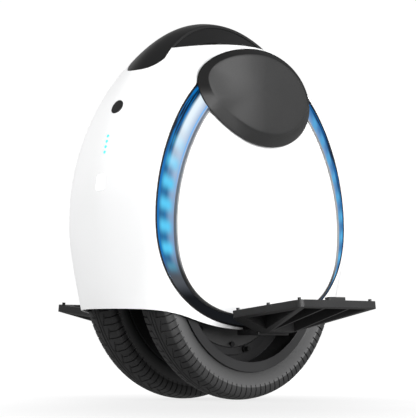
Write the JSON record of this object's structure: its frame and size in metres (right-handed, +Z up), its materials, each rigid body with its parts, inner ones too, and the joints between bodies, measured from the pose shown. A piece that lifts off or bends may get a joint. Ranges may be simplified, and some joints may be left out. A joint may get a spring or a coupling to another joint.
{
  "type": "electric unicycle",
  "caption": "Self-balancing electric unicycle with a white egg-shaped shell, carry handle, side light bands, padded sides, folding pedals and a hub motor between twin tyres.",
  "frame": {"origin": "on the ground under the middle of the axle, between the two tyres", "axes": "+X forward, +Y to the rider's left along the axle, +Z up"},
  "size_m": [0.4222, 0.453, 0.5095],
  "materials": {
    "tyre_black": "cut tread, dull black",
    "tube_rubber": "dull black",
    "rim_grey": "satin grey",
    "valve_brass": "nickel plated",
    "drum_steel": "turned",
    "magnet_nickel": "nickel plated",
    "motor_grey": "dark grey powder coat",
    "screw_steel": "zinc plated",
    "bearing_steel": "ground",
    "axle_steel": "turned",
    "core_iron": "laminated",
    "coil_copper": "enamelled wire",
    "hanger_black": "black powder coat",
    "pedal_black": "black powder coat on a casting",
    "mat_rubber": "gritty grip",
    "stud_black": "blackened",
    "bumper_rubber": "dull black",
    "shell_white": "gloss white",
    "panel_white": "gloss white",
    "tray_black": "gloss black",
    "lens_blue": "translucent blue",
    "band_grey": "satin grey",
    "led_white": "light strip",
    "pad_black": "soft matte black skin",
    "handle_black": "satin black",
    "handle_dark": "dull black",
    "well_black": "dull black",
    "button_grey": "satin dark grey",
    "module_black": "dull black",
    "charge_cyan": "lit",
    "lamp_clear": "clear lens",
    "tail_red": "clear red lens",
    "cap_rubber": "dull black",
    "arch_black": "dull black",
    "battery_blue": "shrink film",
    "sink_aluminium": "extruded",
    "board_green": "lacquered board",
    "cable_rubber": "dull black"
  },
  "bodies": {
    "chassis": {"axle": "axle_steel", "axle_nuts": "screw_steel", "stator_core": "core_iron", "windings": "coil_copper", "hanger_left": "hanger_black", "hanger_right": "hanger_black", "hanger_bolts": "screw_steel", "hinge_pins": "axle_steel", "front_shell": "shell_white", "rear_shell": "shell_white", "side_panel_left": "panel_white", "side_panel_right": "panel_white", "light_tray_left": "tray_black", "light_tray_right": "tray_black", "light_lens_left": "lens_blue", "light_lens_right": "lens_blue", "band_rim_left": "band_grey", "band_rim_right": "band_grey", "led_strips": "led_white", "leg_pad_left": "pad_black", "leg_pad_right": "pad_black", "handle_cover": "handle_black", "handle_bar": "handle_dark", "handle_well": "well_black", "switch_housing": "module_black", "charge_lights": "charge_cyan", "headlight_lens": "lamp_clear", "headlight_module": "module_black", "tail_light_lens": "tail_red", "tail_light_module": "module_black", "charge_port": "module_black", "wheel_arch": "arch_black", "battery_front": "battery_blue", "battery_rear": "battery_blue", "heat_sink": "sink_aluminium", "control_board": "board_green", "motor_cable": "cable_rubber"},
    "wheel": {"tyre_left": "tyre_black", "tyre_right": "tyre_black", "inner_tubes": "tube_rubber", "rim_left": "rim_grey", "rim_right": "rim_grey", "valves": "valve_brass", "motor_drum": "drum_steel", "magnets": "magnet_nickel", "motor_cover_left": "motor_grey", "motor_cover_right": "motor_grey", "cover_screws": "screw_steel", "bearings": "bearing_steel"},
    "left_pedal": {"pedal_left": "pedal_black", "pedal_mat_left": "mat_rubber", "pedal_studs_left": "stud_black", "pedal_bumper_left": "bumper_rubber"},
    "right_pedal": {"pedal_right": "pedal_black", "pedal_mat_right": "mat_rubber", "pedal_studs_right": "stud_black", "pedal_bumper_right": "bumper_rubber"},
    "button": {"power_button": "button_grey"},
    "cap": {"charge_cap": "cap_rubber"}
  },
  "joints": [
    {"name": "wheel_spin", "type": "hinge", "parent": "chassis", "child": "wheel", "pos_m": [0, 0, 0.178], "axis": [0, 1, 0], "continuous": true},
    {"name": "left_pedal_fold", "type": "hinge", "parent": "chassis", "child": "left_pedal", "pos_m": [0, 0.106, 0.107], "axis": [1, 0, 0], "range_deg": [0, 80]},
    {"name": "right_pedal_fold", "type": "hinge", "parent": "chassis", "child": "right_pedal", "pos_m": [0, -0.106, 0.107], "axis": [-1, 0, 0], "range_deg": [0, 80]},
    {"name": "button_press", "type": "slide", "parent": "chassis", "child": "button", "axis": [-0.9, 0, -0.4359], "range_m": [0, 0.0015], "stiffness_N_per_m": 600, "springref_m": -0.001},
    {"name": "cap_swing", "type": "hinge", "parent": "chassis", "child": "cap", "pos_m": [-0.209, 0, 0.2744], "axis": [0, 1, 0], "range_deg": [0, 100]}
  ]
}
